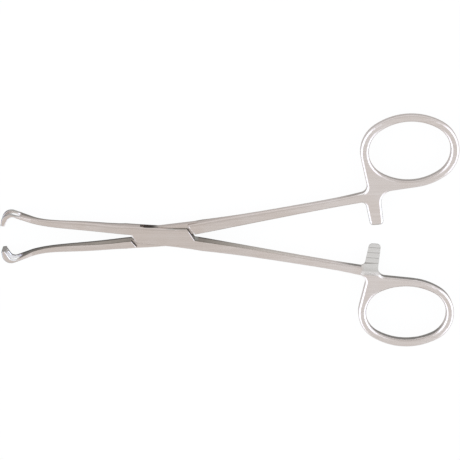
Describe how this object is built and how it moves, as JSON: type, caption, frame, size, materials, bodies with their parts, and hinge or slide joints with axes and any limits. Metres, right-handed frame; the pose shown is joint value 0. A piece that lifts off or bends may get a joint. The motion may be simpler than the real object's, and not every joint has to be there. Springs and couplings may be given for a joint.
{
  "type": "tissue grasping forceps",
  "caption": "Ring-handled tissue grasping forceps with a box lock pivot, a toothed ratchet between the shanks and open looped jaws that end in grooved gripping pads.",
  "frame": {"origin": "on the pivot axis, at the back face of the box lock", "axes": "+X runs from the pivot towards the finger rings, +Z along the pivot pin towards the viewer, +Y towards the ring of the through half"},
  "size_m": [0.1574, 0.0832, 0.007],
  "materials": {
    "satin_steel": "satin brushed stainless steel with brighter rounded edges"
  },
  "bodies": {
    "slotted_side": {"slotted_half": "satin_steel", "pivot_pin": "satin_steel"},
    "through_side": {"through_half": "satin_steel"}
  },
  "joints": [
    {"name": "box_lock_hinge", "type": "hinge", "parent": "slotted_side", "child": "through_side", "pos_m": [0, 0, 0.0029], "axis": [0, 0, 1], "range_deg": [-9.3, 45]}
  ]
}
